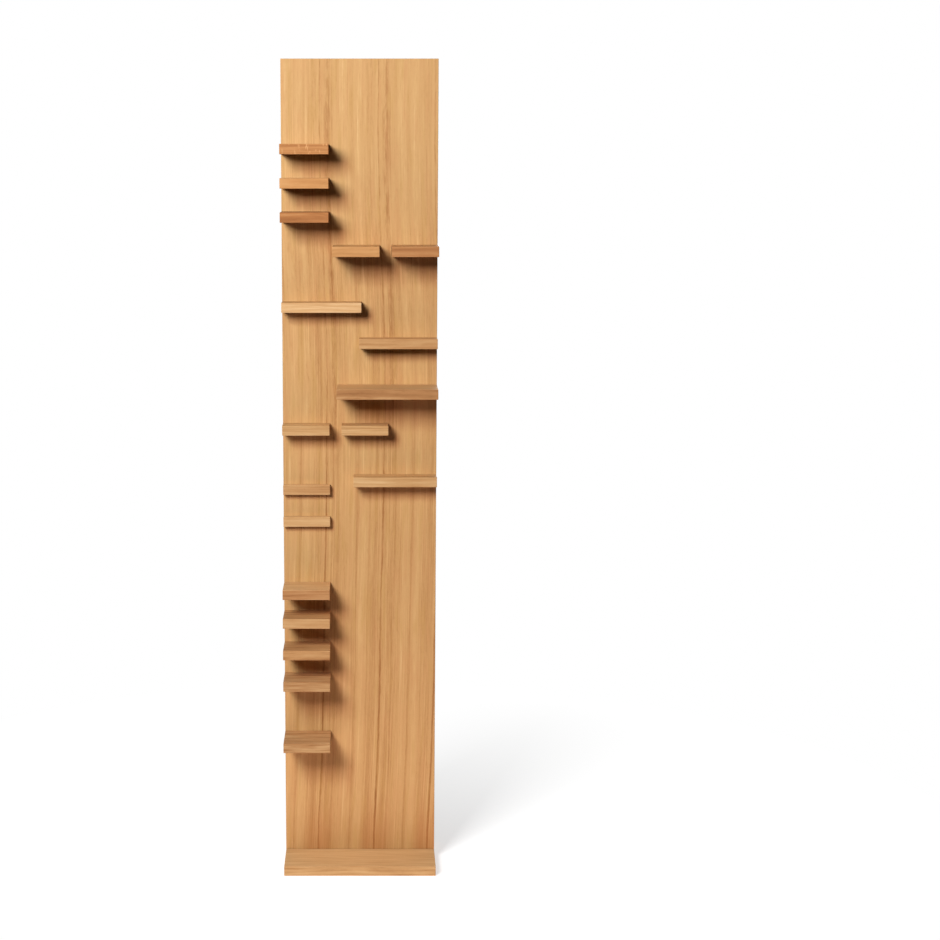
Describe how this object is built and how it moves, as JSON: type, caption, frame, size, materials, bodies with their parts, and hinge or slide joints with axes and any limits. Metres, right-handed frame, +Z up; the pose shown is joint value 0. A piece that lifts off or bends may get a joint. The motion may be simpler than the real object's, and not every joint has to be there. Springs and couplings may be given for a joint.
{
  "type": "wall shelf",
  "caption": "Tall narrow oak panel that stands free on a base board, with short floating shelves of different lengths and depths at staggered heights on its front.",
  "frame": {"origin": "on the floor, at the middle of the object's width and depth", "axes": "+X to the right seen from the front, +Y from the front to the back, +Z up"},
  "size_m": [0.34, 0.22, 1.8],
  "materials": {
    "panel_veneer": "oak veneer, straight grain, matt lacquer",
    "pale_oak": "solid oak, matt lacquer",
    "honey_oak": "solid oak, matt lacquer",
    "warm_oak": "solid oak, matt lacquer",
    "brown_oak": "solid oak, matt lacquer",
    "screw_steel": "zinc-plated"
  },
  "bodies": {
    "root": {"back_panel": "panel_veneer", "base_board": "honey_oak", "shelf_01_left": "warm_oak", "shelf_02_left": "honey_oak", "shelf_03_left": "brown_oak", "shelf_04_middle": "honey_oak", "shelf_05_right": "brown_oak", "shelf_06_left": "pale_oak", "shelf_07_right": "warm_oak", "shelf_08_right": "brown_oak", "shelf_09_left": "honey_oak", "shelf_10_middle": "honey_oak", "shelf_11_right": "honey_oak", "shelf_12_ledge": "warm_oak", "shelf_13_ledge": "honey_oak", "shelf_14_left": "brown_oak", "shelf_15_left": "warm_oak", "shelf_16_left": "warm_oak", "shelf_17_left": "brown_oak", "shelf_18_left": "brown_oak", "shelf_01_left_screw_1": "screw_steel", "shelf_01_left_screw_2": "screw_steel", "shelf_02_left_screw_1": "screw_steel", "shelf_02_left_screw_2": "screw_steel", "shelf_03_left_screw_1": "screw_steel", "shelf_03_left_screw_2": "screw_steel", "shelf_04_middle_screw_1": "screw_steel", "shelf_04_middle_screw_2": "screw_steel", "shelf_05_right_screw_1": "screw_steel", "shelf_05_right_screw_2": "screw_steel", "shelf_06_left_screw_1": "screw_steel", "shelf_06_left_screw_2": "screw_steel", "shelf_07_right_screw_1": "screw_steel", "shelf_07_right_screw_2": "screw_steel", "shelf_08_right_screw_1": "screw_steel", "shelf_08_right_screw_2": "screw_steel", "shelf_09_left_screw_1": "screw_steel", "shelf_09_left_screw_2": "screw_steel", "shelf_10_middle_screw_1": "screw_steel", "shelf_10_middle_screw_2": "screw_steel", "shelf_11_right_screw_1": "screw_steel", "shelf_11_right_screw_2": "screw_steel", "shelf_12_ledge_screw_1": "screw_steel", "shelf_12_ledge_screw_2": "screw_steel", "shelf_13_ledge_screw_1": "screw_steel", "shelf_13_ledge_screw_2": "screw_steel", "shelf_14_left_screw_1": "screw_steel", "shelf_14_left_screw_2": "screw_steel", "shelf_15_left_screw_1": "screw_steel", "shelf_15_left_screw_2": "screw_steel", "shelf_16_left_screw_1": "screw_steel", "shelf_16_left_screw_2": "screw_steel", "shelf_17_left_screw_1": "screw_steel", "shelf_17_left_screw_2": "screw_steel", "shelf_18_left_screw_1": "screw_steel", "shelf_18_left_screw_2": "screw_steel", "base_board_screw_1": "screw_steel", "base_board_screw_2": "screw_steel", "base_board_screw_3": "screw_steel", "base_board_screw_4": "screw_steel"}
  },
  "joints": []
}
